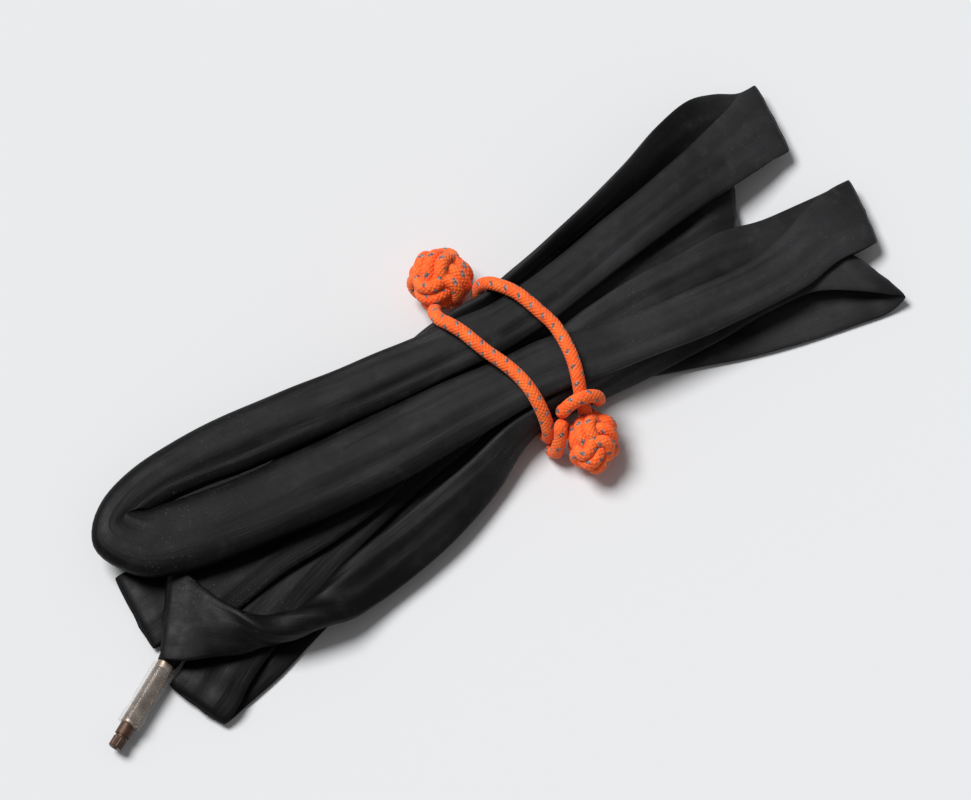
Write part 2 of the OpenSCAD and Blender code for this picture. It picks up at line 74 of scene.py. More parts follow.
# ---------- routes, drawn as in the CAD ------------------
# The closed rubber ring. Each row is a place, the direction across the tube, and the tube's width
# and thickness.
RING = [
    # the first row only steers the start; the ring runs from the second row to the last but one,
    # which are the same, and the last row only steers the end
    (-137, -23.6, 10.6, -0.5, -0.86, 0.05, 32, 2.2),
    # run 1 with its half twist
    (-131, -29.2, 10.8, -0.32, -0.94, 0, 25.5, 3.4),
    (-124, -36.4, 10.3, -0.18, -0.94, -0.28, 17, 5.6),
    (-114, -42.4, 9.8, 0, -0.3, -0.95, 9.6, 9.4),
    (-103, -45, 9.6, 0, 0.5, -0.86, 11, 8.8),
    (-90, -44, 8.8, 0, 0.95, -0.1, 16, 6),
    (-78, -42, 8.4, 0, 0.97, 0.2, 18, 4.6),
    (-60, -39, 8.5, 0, 0.96, 0.25, 18, 4),
    (-43, -35.3, 8.8, 0, 0.95, 0.3, 17, 4),
    (-25, -30, 9.4, 0, 0.8, 0.6, 15, 4.2),
    (-10, -24, 10.7, 0, 0.5, 0.86, 11.8, 4.2),
    (0, -22.4, 10.9, 0, 0.35, 0.94, 10.8, 4.2),
    (12, -22, 9.6, 0, 0.42, 0.9, 12.4, 4.2),
    (28, -21.2, 8.6, 0, 0.7, 0.7, 13.5, 4),
    (45, -20, 7.9, 0, 0.9, 0.4, 15.5, 3.4),
    (65, -19, 7.9, 0, 0.98, 0.15, 17.5, 3),
    (85, -18.5, 8, 0, 1, 0, 18.5, 2.6),
    (100, -19.2, 7.9, 0, 1, 0, 19.5, 2.3),
    (111, -25.5, 7.3, -0.12, 0.99, 0, 21, 2.1),
    # right low fold
    (117, -30.8, 6.6, -0.3, 0.95, 0, 22.8, 2),
    (121.4, -33.9, 4.3, -0.33, 0.94, 0, 23, 2),
    (118, -33.6, 1.95, -0.15, 0.99, 0, 24.4, 2),
    # run 2
    (108, -31.5, 1.35, 0, 1, 0, 25, 2.3),
    (87, -28, 1.3, 0, 1, 0, 25, 2.4),
    (70, -23.5, 1.4, 0, 1, 0, 25, 2.6),
    (54, -19, 1.8, 0, 1, 0, 24, 2.8),
    (38, -15, 3, 0, 1, 0, 22, 3.4),
    (22, -11.5, 5.2, 0, 1, 0, 19, 4),
    (8, -9, 7, 0, 1, 0, 17, 4.2),
    (0, -8.6, 7.2, 0, 1, 0, 16.5, 4.2),
    (-12, -10.5, 6.6, 0, 1, 0, 17.5, 4),
    (-30, -16, 3.6, 0, 1, 0, 20, 3.2),
    (-50, -22.5, 1.8, 0, 1, 0, 22, 2.6),
    (-75, -30, 1.3, 0, 1, 0, 23, 2.3),
    (-98, -36.8, 1.2, 0, 1, 0, 23.5, 2.2),
    (-120, -43, 1.2, -0.15, 0.98, 0, 24, 2.2),
    (-136, -47.5, 1.2, -0.3, 0.95, 0, 23, 2.2),
    # left front fold
    (-143, -49.4, 1.4, -0.36, 0.93, 0, 22.6, 2),
    (-146.6, -50.3, 2.9, -0.39, 0.92, 0, 22.6, 2),
    (-143, -49.2, 4.4, -0.39, 0.92, 0, 22.6, 2),
    # run 3
    (-134, -43.5, 4.6, -0.38, 0.92, 0, 23, 2.1),
    (-118, -35, 4, -0.3, 0.95, 0, 23, 2.1),
    (-100, -28.5, 3.7, -0.2, 0.98, 0, 21, 2.2),
    (-80, -22.5, 3.9, -0.1, 1, 0, 19, 2.3),
    (-60, -17.5, 4.6, 0, 1, 0, 18, 2.6),
    (-40, -13.2, 6.6, 0, 1, 0, 17, 3),
    (-22, -10.6, 9.2, 0, 1, 0, 16, 3.4),
    (-8, -8.6, 11.6, 0, 1, 0, 15, 3.8),
    (0, -8, 12, 0, 1, 0, 15, 4),
    (12, -7.6, 11.8, 0, 1, 0, 15.5, 3.8),
    (30, -5.6, 10.6, 0, 0.98, 0.2, 17, 3.4),
    (50, -4.2, 9, 0, 0.97, 0.24, 17, 3),
    (65, -4.2, 7.7, 0, 0.98, 0.2, 18, 2.6),
    (82, -5, 6.9, 0, 0.98, 0.18, 20, 2.3),
    (98, -8.4, 6, 0, 0.99, 0.12, 20.5, 2.1),
    (112, -10.6, 5, 0.05, 1, 0.03, 23, 2),
    # right middle fold
    (123, -11.4, 4.6, 0.12, 0.99, 0, 24.4, 1.9),
    (128, -11.9, 6.4, 0.14, 0.99, 0, 24.6, 1.9),
    (123, -12.2, 8.2, 0.13, 0.99, 0, 24.4, 1.9),
    # run 4
    (112, -13.4, 10, 0.05, 1, 0, 21.6, 2.4),
    (98, -17.5, 11.4, 0, 1, 0, 19, 3.6),
    (82, -19, 12.8, 0, 1, 0, 17, 4.4),
    (65, -18.3, 13.8, 0, 1, 0, 16.5, 4.8),
    (45, -16.5, 15, 0, 1, 0, 16.5, 4.8),
    (26, -14, 16.4, 0, 1, 0, 17.5, 4.8),
    (10, -10.8, 17.3, 0, 1, 0, 18.8, 4.8),
    (0, -10.2, 17.4, 0, 1, 0, 19.2, 4.8),
    (-12, -9.8, 17.4, 0, 1, 0, 20.4, 5),
    (-30, -9, 16.6, 0, 1, 0, 22.5, 6),
    (-48, -8.6, 15.5, 0, 1, 0, 24.5, 7),
    (-70, -7.4, 14.2, 0, 1, 0, 25.5, 8),
    (-90, -5.6, 13.4, 0, 1, 0, 25, 8.6),
    (-108, -3.6, 13, 0.05, 1, 0, 25.2, 9),
    # left top loop
    (-124, -0.6, 12.8, 0.25, 0.97, 0, 24.8, 9),
    (-136.6, 4.8, 12.5, 0.62, 0.78, 0, 23, 9),
    (-141.2, 13, 12.3, 0.98, 0.2, 0, 19.6, 9),
    (-134.4, 17.3, 12.4, 0.75, -0.66, 0, 17.4, 9),
    (-125, 19.7, 12.6, 0.35, -0.94, 0, 16.8, 9),
    # run 5
    (-111, 20, 13, 0.08, -1, 0, 18.4, 9),
    (-92, 18.5, 13.4, 0, -1, 0, 20.4, 8.8),
    (-72, 16.4, 14.2, 0, -1, 0, 20, 8.2),
    (-50, 13.8, 15.4, 0, -1, 0, 19.4, 7.2),
    (-30, 11.8, 16.6, 0, -1, 0, 18, 6),
    (-12, 10.3, 17.3, 0, -1, 0, 17.6, 5),
    (0, 9.3, 17.4, 0, -1, 0, 17, 4.8),
    (12, 10, 17.2, 0, -1, 0, 16.5, 4.8),
    (30, 13, 16.2, 0, -1, 0, 16.5, 4.8),
    (48, 16.8, 15, 0, -1, 0, 17, 4.8),
    (65, 20, 14, 0, -1, 0, 17.5, 4.6),
    (80, 23, 13, 0, -1, 0, 19, 4.2),
    (96, 26.5, 11, 0, -1, 0, 21.5, 3.4),
    (107, 29.2, 9, -0.03, -1, 0, 24, 2.6),
    # right top fold
    (113.6, 31.2, 7.6, -0.07, -0.99, 0, 26, 2.1),
    (118.8, 31.8, 6, -0.09, -0.99, 0, 26.2, 2),
    (113.6, 32.4, 4.4, -0.07, -0.99, 0, 26, 2),
    # run 6
    (106, 36, 4.9, 0, -0.95, -0.3, 25, 2.1),
    (96, 38, 8.4, 0, -0.8, -0.6, 25, 2.2),
    (82, 36.5, 9.8, 0, -0.62, -0.78, 24, 2.4),
    (65, 32.2, 9.8, 0, -0.5, -0.86, 22, 2.8),
    (50, 28.8, 9.9, 0, -0.42, -0.9, 19.6, 3.2),
    (32, 25.2, 9.9, 0, -0.35, -0.94, 17.6, 3.6),
    (15, 22.4, 9.7, 0, -0.25, -0.97, 14.4, 4),
    (4, 20.8, 10.7, 0, -0.2, -0.98, 12, 4),
    (-6, 19.8, 10.7, 0, -0.4, -0.92, 12.2, 4),
    (-18, 17, 11.2, 0, -0.8, -0.6, 13, 3.8),
    (-35, 10.6, 7.8, 0, -1, -0.14, 18, 3.2),
    (-60, 5, 5, 0, -1, -0.05, 20.5, 2.6),
    (-90, -1.8, 3.9, 0, -1, 0, 21.5, 2.3),
    (-120, -9, 3.7, 0, -1, 0, 24, 2.1),
    (-138, -12.4, 3.7, 0, -1, 0, 25.6, 2),
    # left back fold
    (-144.4, -12.6, 3.6, -0.02, -1, 0, 27, 1.8),
    (-148.8, -12.7, 2.3, -0.03, -1, 0, 27.6, 1.8),
    (-144.4, -12.8, 1.15, -0.02, -1, 0, 27, 1.8),
    # run 7
    (-135, -12.4, 1.15, 0, -1, 0, 25.6, 1.9),
    (-110, -7.4, 1.1, 0, -1, 0, 23.4, 2.1),
    (-80, -1.6, 1.2, 0, -1, 0, 21.5, 2.3),
    (-50, 4, 1.6, 0, -1, 0, 19.5, 2.6),
    (-28, 6.4, 3.2, 0, -1, 0, 16.4, 3.2),
    (-10, 7.4, 6.5, 0, -1, 0, 14, 4),
    (0, 7.8, 7.2, 0, -1, 0, 15.5, 4.2),
    (12, 8, 6.6, 0, -1, 0, 16, 4),
    (30, 9.5, 4, 0, -1, 0, 17, 3.6),
    (50, 11.5, 2.2, 0, -1, 0, 18, 3.2),
    (70, 12.8, 1.7, 0, -1, 0, 19.5, 2.8),
    # right inner loop
    (84, 13.3, 1.9, -0.3, -0.95, 0, 20, 2.6),
    (92.5, 13.2, 4.6, -0.45, -0.89, 0, 21, 2.6),
    (84, 13.3, 7.3, -0.3, -0.95, 0, 20, 2.6),
    # run 8
    (70, 12.8, 7.4, 0, -1, 0, 19.5, 2.8),
    (50, 11.5, 7.8, 0, -1, 0, 18, 3.2),
    (30, 9.5, 9.4, 0, -1, 0, 16.5, 3.6),
    (12, 7.8, 11.8, 0, -1, 0, 15, 4),
    (0, 7.6, 12.1, 0, -1, 0, 15, 4),
    (-10, 6.8, 12.1, 0, -1, 0, 15, 3.8),
    (-22, 2, 12.2, 0, -1, 0, 15.6, 3.4),
    (-40, -6, 10.6, 0, -1, 0, 18, 3.2),
    (-60, -12.5, 8.8, 0, -1, 0, 20, 2.8),
    (-80, -15, 7.3, 0, -1, 0, 21, 2.6),
    (-100, -15.5, 6.6, 0, -1, 0, 22, 2.4),
    (-118, -18, 6.3, -0.15, -0.98, 0.02, 24, 2.2),
    (-131, -20.2, 6.8, -0.38, -0.91, 0.1, 27, 2.1),
    # left valve fold, lower layer
    (-137, -19.4, 7.4, -0.52, -0.85, 0.13, 30.5, 2),
    # its crease and upper layer
    (-141, -19.8, 8.8, -0.56, -0.82, 0.1, 32, 2),
    (-137, -23.6, 10.6, -0.5, -0.86, 0.05, 32, 2.2),
    (-131, -29.2, 10.8, -0.32, -0.94, 0, 25.5, 3.4),
    (-124, -36.4, 10.3, -0.18, -0.94, -0.28, 17, 5.6),
]

# The cord's middle line, from the upper ball over, under and over the bundle to the lower ball.
TIE = [
    (-11.4, 29.2, 10.4),
    (-12.8, 27, 12.2),
    (-14.5, 24.7, 16.3),
    (-14.8, 20.4, 20.1),
    (-13.2, 16.8, 22),
    (-11, 12.1, 22.5),
    (-9.2, 6.8, 22.6),
    (-7.4, 2, 22.4),
    (-4.9, -3.8, 22.4),
    (-2.7, -10.6, 22.4),
    (-1.8, -16.1, 22),
    (-1.5, -21.4, 19.8),
    (-1.5, -25.4, 16),
    (-1.8, -28.3, 11.4),
    (-2.1, -28.6, 6.4),
    (-2.2, -25.4, 3.1),
    (-2.2, -20, 2.5),
    (-0.8, -10, 2.5),
    (0.8, 4, 2.5),
    (2, 15, 2.6),
    (2.6, 21.5, 2.9),
    (2.6, 25.2, 6.6),
    (2.5, 25.5, 11),
    (3.6, 25.7, 15.1),
    (5.8, 24, 18.4),
    (8.4, 20.4, 20.6),
    (11.2, 15.6, 21.9),
    (13.2, 10.2, 22.3),
    (14.8, 5, 22.2),
    (16.2, 0.2, 22),
    (16.5, -5, 22.1),
    (16.2, -10, 22.2),
    (15.3, -15.4, 22),
    (13.9, -20.3, 20.6),
    (12.7, -24, 18),
    (12, -27, 15.6),
    (11.4, -30, 12.6),
]

# The two turns of the hitch beside the lower ball.
WRAP_UPPER = [
    (5.2, -25.8, 15.4),
    (4.4, -26.6, 17),
    (7.4, -26.6, 20),
    (11.4, -27, 21.6),
    (14.8, -27.6, 20.2),
    (17, -28.2, 17.2),
    (17.2, -28.4, 14.6),
]

WRAP_LOWER = [
    (2.8, -29.2, 12.4),
    (1.6, -30.3, 15.2),
    (0.4, -32.4, 13),
    (-1.6, -34, 9),
    (-2.4, -34, 4.8),
    (-2.8, -31.6, 2.6),
]


# ---------- small numeric tools ----------
def unit(v):
    return v / np.linalg.norm(v)


def signed_power(value, power):
    return np.sign(value) * np.abs(value) ** power


def hermite(rows, step):
    """A smooth route through rows, in steps of at most step: its points, slopes and row marks."""
    rows = np.asarray(rows, float)
    gap = np.linalg.norm(np.diff(rows[:, :3], axis=0), axis=1)
    slope = np.empty_like(rows)
    slope[0] = (rows[1] - rows[0]) / gap[0]
    slope[-1] = (rows[-1] - rows[-2]) / gap[-1]
    for i in range(1, len(rows) - 1):
        a, b = gap[i - 1], gap[i]
        slope[i] = ((rows[i] - rows[i - 1]) / a * b + (rows[i + 1] - rows[i]) / b * a) / (a + b)
    values, slopes, marks = [], [], []
    for i, d in enumerate(gap):
        n = max(2, math.ceil(d / step))
        for k in range(n + (i == len(gap) - 1)):
            t = k / n
            h00, h10 = 2 * t**3 - 3 * t**2 + 1, t**3 - 2 * t**2 + t
            h01, h11 = 3 * t**2 - 2 * t**3, t**3 - t**2
            here = h00 * rows[i] + h10 * d * slope[i] + h01 * rows[i + 1] + h11 * d * slope[i + 1]
            values.append(here)
            way = (rows[i + 1] - rows[i]) * (6 * t - 6 * t**2) / d
            slopes.append(way + slope[i] * (3 * t**2 - 4 * t + 1) + slope[i + 1] * (3 * t**2 - 2 * t))
            marks.append(i + t)
    return np.array(values), np.array(slopes), np.array(marks)


def arc_length(points):
    return np.concatenate([[0.0], np.cumsum(np.linalg.norm(np.diff(points, axis=0), axis=1))])


def resample(points, step):
    """The same polyline at an even step."""
    s = arc_length(points)
    n = max(2, int(round(s[-1] / step)))
    at = np.linspace(0, s[-1], n + 1)
    return np.column_stack([np.interp(at, s, points[:, k]) for k in range(3)])


WAVE_COUNT = 7
WAVE_GAIN = 1.6


def waves(seed, x, shortest, longest):
    """A smooth wandering value around zero, about one at its largest."""
    rng = np.random.default_rng(seed)
    total = np.zeros_like(x)
    for _ in range(WAVE_COUNT):
        length = math.exp(rng.uniform(math.log(shortest), math.log(longest)))
        total = total + np.sin(2 * math.pi * x / length + rng.uniform(0, 2 * math.pi))
    return total / WAVE_COUNT * WAVE_GAIN


# ---------- mesh making ----------
def grid_mesh(name, points, closed_along, u, v, caps=False):
    """A tube skin from points[station, side], wrapped round the sides, with its own UVs."""
    stations, sides = points.shape[:2]
    rows = stations if closed_along else stations - 1
    faces, uvs = [], []
    for r in range(rows):
        nr = (r + 1) % stations
        for k in range(sides):
            nk = (k + 1) % sides
            faces.append((r * sides + k, r * sides + nk, nr * sides + nk, nr * sides + k))
            uvs.extend([(u[r], v[k]), (u[r], v[k + 1]), (u[r + 1], v[k + 1]), (u[r + 1], v[k])])
    if caps:
        faces.append(tuple(reversed(range(sides))))
        uvs.extend([(u[0], 0.0)] * sides)
        last = (stations - 1) * sides
        faces.append(tuple(range(last, last + sides)))
        uvs.extend([(u[stations - 1], 0.0)] * sides)
    mesh = bpy.data.meshes.new(name)
    mesh.from_pydata((points.reshape(-1, 3) * MM).tolist(), [], faces)
    layer = mesh.uv_layers.new(name="lay")
    layer.data.foreach_set("uv", np.asarray(uvs, np.float32).ravel())
    mesh.shade_smooth()
    mesh.update()
    return mesh


def add_object(name, mesh, material):
    obj = bpy.data.objects.new(name, mesh)
    bpy.context.scene.collection.objects.link(obj)
    obj.data.materials.append(material)
    return obj


def joined(name, meshes, material):
    """One object made of several meshes that share a material."""
    parts = [add_object(f"{name}_{i}", m, material) for i, m in enumerate(meshes)]
    with bpy.context.temp_override(active_object=parts[0], selected_editable_objects=parts):
        bpy.ops.object.join()
    parts[0].name = name
    parts[0].data.name = name
    return parts[0]


# ---------- material tools ----------
class Graph:
    """Short names for the nodes a material needs."""

    def __init__(self, name):
        self.material = bpy.data.materials.new(name)
        self.material.use_nodes = True
        self.tree = self.material.node_tree
        self.shader = self.tree.nodes["Principled BSDF"]

    def node(self, kind, **inputs):
        made = self.tree.nodes.new(kind)
        for key, value in inputs.items():
            self.put(made.inputs[key.replace("_", " ")], value)
        return made

    def put(self, socket, value):
        if isinstance(value, bpy.types.NodeSocket):
            self.tree.links.new(value, socket)
        else:
            socket.default_value = value

    def set(self, **inputs):
        for key, value in inputs.items():
            self.put(self.shader.inputs[key.replace("_", " ")], value)

    def math(self, operation, a, b=0.0):
        made = self.tree.nodes.new("ShaderNodeMath")
        made.operation = operation
        self.put(made.inputs[0], a)
        self.put(made.inputs[1], b)
        return made.outputs[0]

    def ramp(self, value, low, high, to_low=0.0, to_high=1.0):
        made = self.tree.nodes.new("ShaderNodeMapRange")
        made.interpolation_type = "SMOOTHSTEP"
        ends = {"From Min": low, "From Max": high, "To Min": to_low, "To Max": to_high}
        for key, number in ends.items():
            made.inputs[key].default_value = number
        self.put(made.inputs["Value"], value)
        return made.outputs[0]

    def mix(self, factor, a, b):
        """Colour a where factor is 0 and colour b where it is 1."""
        made = self.tree.nodes.new("ShaderNodeMix")
        made.data_type = "RGBA"
        colour_a, colour_b, colour_out = 6, 7, 2
        self.put(made.inputs[0], factor)
        self.put(made.inputs[colour_a], a)
        self.put(made.inputs[colour_b], b)
        return made.outputs[colour_out]

    def noise(self, place, scale, detail=4.0, rough=0.55, stretch=None):
        if stretch:
            mapping = self.node("ShaderNodeMapping", Vector=place)
            mapping.inputs["Scale"].default_value = stretch
            place = mapping.outputs[0]
        made = self.node("ShaderNodeTexNoise", Vector=place)
        made.inputs["Scale"].default_value = scale
        made.inputs["Detail"].default_value = detail
        made.inputs["Roughness"].default_value = rough
        return made.outputs[0]

    def bump(self, height, distance, strength=1.0, under=None):
        made = self.node("ShaderNodeBump", Height=height)
        made.inputs["Distance"].default_value = distance
        made.inputs["Strength"].default_value = strength
        if under is not None:
            self.put(made.inputs["Normal"], under)
        return made.outputs[0]


def place_of(graph):
    """Object coordinates: metres in the part's own frame, since every object sits at the origin."""
    return graph.node("ShaderNodeTexCoord").outputs["Object"]


# ---------- materials ----------
def rubber_material():
    """Black rubber with drawn streaks, scuffs and dust, darker towards the left end and lighter towards
    the right end.
    """
    g = Graph("butyl_rubber")
    place = place_of(g)
    lay = g.node("ShaderNodeUVMap")
    lay.uv_map = "lay"
    cloudy = g.noise(place, 24, 5)
    streaks = g.noise(lay.outputs[0], 1.0, 6, 0.6, stretch=(0.3, 20.0, 1.0))
    fine = g.noise(place, 2600, 3)
    specks = g.noise(place, 1300, 2, 0.5)
    scuffs = g.noise(place, 160, 6, 0.65)
    split = g.node("ShaderNodeSeparateXYZ", Vector=place)
    # a ramp along x: the rubber's tones are darker at the ring's left end and lighter at its right end
    lighter_rightward = g.ramp(split.outputs[0], -0.12, 0.1)
    clean = g.mix(lighter_rightward, (0.0015, 0.0015, 0.0016, 1), (0.0085, 0.0085, 0.0092, 1))
    dusty = g.mix(lighter_rightward, (0.0028, 0.0028, 0.003, 1), (0.025, 0.025, 0.0266, 1))
    streak_tone = g.mix(lighter_rightward, (0.006, 0.006, 0.0065, 1), (0.024, 0.024, 0.025, 1))
    speck_tone = (0.1, 0.1, 0.098, 1)
    scuff_tone = g.mix(lighter_rightward, (0.015, 0.015, 0.015, 1), (0.045, 0.045, 0.045, 1))
    streaked = g.math("MULTIPLY", g.ramp(streaks, 0.56, 0.76), 0.3)
    dust = g.math("MULTIPLY", g.ramp(specks, 0.63, 0.74), g.ramp(cloudy, 0.48, 0.66))
    scuffed = g.math("MULTIPLY", g.ramp(scuffs, 0.52, 0.74), 0.32)
    tone = g.mix(g.ramp(cloudy, 0.35, 0.68), clean, dusty)
    tone = g.mix(streaked, tone, streak_tone)
    tone = g.mix(g.math("MULTIPLY", dust, 0.35), tone, speck_tone)
    tone = g.mix(scuffed, tone, scuff_tone)
    g.set(Base_Color=tone, Roughness=g.ramp(scuffs, 0.3, 0.75, 0.42, 0.58))
    g.shader.inputs["Specular IOR Level"].default_value = 0.13
    grain = g.bump(fine, 0.00006, 0.5)
    drawn = g.bump(streaks, 0.0004, 0.6, grain)
    g.set(Normal=g.bump(scuffs, 0.0001, 0.35, drawn))
    return g.material


def fleck_mask(g, first, second):
    """A slanted lozenge of reflective yarn once every FLECK_REPEAT braid cells each way."""
    middle, half_long, half_short = 2.5, 0.95, 0.58
    reach = []
    for cell, half in ((first, half_long), (second, half_short)):
        within = g.math("FLOORED_MODULO", cell, float(FLECK_REPEAT))
        reach.append(g.math("DIVIDE", g.math("ABSOLUTE", g.math("SUBTRACT", within, middle)), half))
    farthest = g.math("MAXIMUM", *reach)
    return g.ramp(farthest, 0.75, 1.05, 1.0, 0.0)


def cord_material():
    """Braid cells from the cord's UVs: u counts cells along it and v goes once round it."""
    g = Graph("braided_cord")
    lay = g.node("ShaderNodeUVMap")
    lay.uv_map = "lay"
    split = g.node("ShaderNodeSeparateXYZ", Vector=lay.outputs[0])
    around = g.math("MULTIPLY", split.outputs[1], float(BRAID_CELLS))
    first = g.math("ADD", around, split.outputs[0])
    second = g.math("SUBTRACT", around, split.outputs[0])
    pillow = g.math(
        "MULTIPLY",
        g.math("SINE", g.math("MULTIPLY", g.math("FRACT", first), math.pi)),
        g.math("SINE", g.math("MULTIPLY", g.math("FRACT", second), math.pi)),
    )
    place = place_of(g)
    fuzz = g.noise(place, 1300, 4, 0.6)
    lumps = g.noise(place, 620, 3, 0.5)
    wear = g.noise(place, 160, 3)
    orange, worn_orange = (1.0, 0.118, 0.015, 1), (1.0, 0.175, 0.026, 1)
    # the deeper orange of the second pair is painted shade for the grooves between braid cells
    # the light orange of the second pair is the yarn's light fuzz and also a painted highlight
    fuzz_highlight_orange, groove_shade_orange = (1.0, 0.33, 0.11, 1), (0.75, 0.05, 0.005, 1)
    dark_yarn, light_yarn = (0.07, 0.055, 0.055, 1), (0.36, 0.32, 0.32, 1)
    fleck = g.math("MULTIPLY", fleck_mask(g, first, second), g.ramp(fuzz, 0.3, 0.42))
    # painted shade: strongest in the grooves between the braid's cells, varied by the lumps noise
    shade = g.math("MULTIPLY", g.ramp(pillow, 0.34, 0.0), g.ramp(lumps, 0.3, 0.62, 0.25, 1.0))
    tone = g.mix(g.ramp(wear, 0.35, 0.7), orange, worn_orange)
    # lighter orange where the fuzz noise is high: partly the yarn's fuzz, partly painted highlight
    tone = g.mix(g.math("MULTIPLY", g.ramp(fuzz, 0.5, 0.72), 0.55), tone, fuzz_highlight_orange)
    tone = g.mix(g.math("MULTIPLY", shade, 0.45), tone, groove_shade_orange)
    tone = g.mix(fleck, tone, g.mix(g.ramp(fuzz, 0.4, 0.65), dark_yarn, light_yarn))
    g.set(Base_Color=tone, Roughness=g.math("SUBTRACT", 0.75, g.math("MULTIPLY", fleck, 0.3)))
    g.shader.inputs["Specular IOR Level"].default_value = 0.25
    g.shader.inputs["Sheen Weight"].default_value = 0.1
    g.shader.inputs["Sheen Roughness"].default_value = 0.5
    woven = g.bump(pillow, 0.0003, 0.6)
    knobbly = g.bump(lumps, 0.0005, 0.6, woven)
    g.set(Normal=g.bump(fuzz, 0.0001, 0.5, knobbly))
    return g.material


def metal_material(name, light, dark, rough, metallic):
    """Dull metal, clouded between two colours."""
    g = Graph(name)
    place = place_of(g)
    cloud = g.noise(place, 300, 4)
    fine = g.noise(place, 4200, 2)
    g.set(Base_Color=g.mix(g.ramp(cloud, 0.35, 0.7), dark, light), Metallic=metallic)
    g.set(Roughness=g.ramp(cloud, 0.3, 0.75, rough - 0.05, rough + 0.1))
    g.set(Normal=g.bump(fine, 0.00002, 0.3))
    return g.material


def plain_material(name, light, dark, rough, scale):
    """Plain plastic or rubber, clouded between two colours at a noise scale."""
    g = Graph(name)
    cloud = g.noise(place_of(g), scale, 5)
    g.set(Base_Color=g.mix(g.ramp(cloud, 0.35, 0.7), dark, light))
    g.set(Roughness=g.ramp(cloud, 0.3, 0.7, rough - 0.06, rough + 0.1))
    g.set(Normal=g.bump(g.noise(place_of(g), scale * 6, 3), 0.00002, 0.3))
    return g.material


def clear_material():
    """Clear soft plastic: seen through face on, greyer and shinier at its edges."""
    g = Graph("clear_sleeve")
    edge = g.node("ShaderNodeLayerWeight")
    edge.inputs["Blend"].default_value = 0.3
    haze = g.noise(place_of(g), 140, 3)
    rim = g.ramp(edge.outputs["Facing"], 0.3, 0.95, 0.08, 0.65)
    g.set(Base_Color=g.mix(g.ramp(haze, 0.35, 0.65), (0.44, 0.42, 0.4, 1), (0.56, 0.545, 0.53, 1)))
    g.set(Alpha=g.math("ADD", rim, g.ramp(haze, 0.45, 0.75, 0.0, 0.06)))
    g.set(Roughness=g.ramp(haze, 0.3, 0.7, 0.18, 0.26))
    g.shader.inputs["Coat Weight"].default_value = 0.8
    g.shader.inputs["Coat Roughness"].default_value = 0.1
    g.set(Normal=g.bump(haze, 0.0001, 0.1))
    return g.material


def floor_material():
    g = Graph("pale_floor")
    cloud = g.noise(place_of(g), 3, 2)
    g.set(Base_Color=g.mix(g.ramp(cloud, 0.3, 0.7), (0.699, 0.705, 0.7175, 1), (0.702, 0.708, 0.7205, 1)))
    g.set(Roughness=0.95)
    g.shader.inputs["Specular IOR Level"].default_value = 0.0
    return g.material


# ---------- the rubber ring ----------
TUBE_SIDES = 48
TUBE_STEP = 1.6
OVAL_POWER = 0.78  # under 1, so the oval is fuller than an ellipse
# long pressed ridges: seed, place across from -1 to 1, height
RIDGES = ((31, 0.4, 0.7), (41, -0.3, 0.6), (51, 0.05, -0.5))
RIDGE_WIDTH = 0.16
FLOOR_GAP = 0.05


def tube_points():
    """The ring's skin: flat ovals along the route, with the wrinkles of pressed rubber."""
    values, slopes, marks = hermite(RING, TUBE_STEP)
    once_round = (marks >= 1) & (marks < len(RING) - 2)
    values, slopes = values[once_round], slopes[once_round]
    centre = values[:, :3]
    along = slopes[:, :3] / np.linalg.norm(slopes[:, :3], axis=1)[:, None]
    across = values[:, 3:6] / np.linalg.norm(values[:, 3:6], axis=1)[:, None]
    up = np.cross(along, across)
    up /= np.linalg.norm(up, axis=1)[:, None]
    width, thick = values[:, 6], values[:, 7]
    s = arc_length(centre)
    angle = 2 * math.pi * np.arange(TUBE_SIDES) / TUBE_SIDES
    a = signed_power(np.cos(angle), OVAL_POWER)[None, :]
    lift = signed_power(np.sin(angle), OVAL_POWER)[None, :]
    skin = lift * thick[:, None] / 2 + wrinkles(s, a, lift, thick) + ridges(s, a, thick)
    edge = waves(15, s, 18, 70)[:, None] * 0.25 * np.abs(a) ** 6 * np.sign(a)
    spread = a * width[:, None] / 2 + edge
    points = centre[:, None, :] + spread[..., None] * across[:, None, :] + skin[..., None] * up[:, None, :]
    points += MIDDLE
    points[..., 2] = np.maximum(points[..., 2], FLOOR_GAP)
    return points, s


def wrinkles(s, a, lift, thick):
    """Slow leans and crests of the skin, at length s and place a across; stiffer where it is thin."""
    wobble = waves(11, s, 40, 130)[:, None] * 0.35 * a + waves(12, s, 22, 60)[:, None] * 0.22 * a**2
    crest = (waves(13, s, 30, 90)[:, None] * 0.5) * np.cos(a * 4.2 + waves(14, s, 60, 200)[:, None] * 2)
    soft = np.clip(thick / 5.0, 0.15, 1.0)[:, None]
    return wobble * np.minimum(soft, 0.8) + crest * soft * np.abs(lift) * 0.5


def ridges(s, a, thick):
    """Long ridges and a groove that wander along the tube and fade in and out."""
    total = np.zeros((len(s), a.shape[1]))
    for seed, where, height in RIDGES:
        line = where + 0.22 * waves(seed, s, 120, 320)[:, None]
        fade = 0.55 + 0.45 * waves(seed + 1, s, 40, 140)[:, None]
        total = total + height * fade * np.exp(-(((a - line) / RIDGE_WIDTH) ** 2))
    room = np.clip((1.0 - np.abs(a)) * 3.0, 0.0, 1.0)
    return total * room * np.clip(thick / 3.0, 0.6, 1.0)[:, None]


def make_tube(material):
    points, s = tube_points()
    total = s[-1] + np.linalg.norm(points[0].mean(0) - points[-1].mean(0))
    u = np.append(s, total) / 10.0  # one unit of the lay is 10 mm
    v = np.arange(TUBE_SIDES + 1) / TUBE_SIDES
    mesh = grid_mesh("rubber_ring", points, True, u, v)
    tube = add_object("rubber_ring", mesh, material)
    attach(tube, "bundle")
    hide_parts(*[n for n in NODES if n.startswith(("run_", "fold_", "loop_"))])


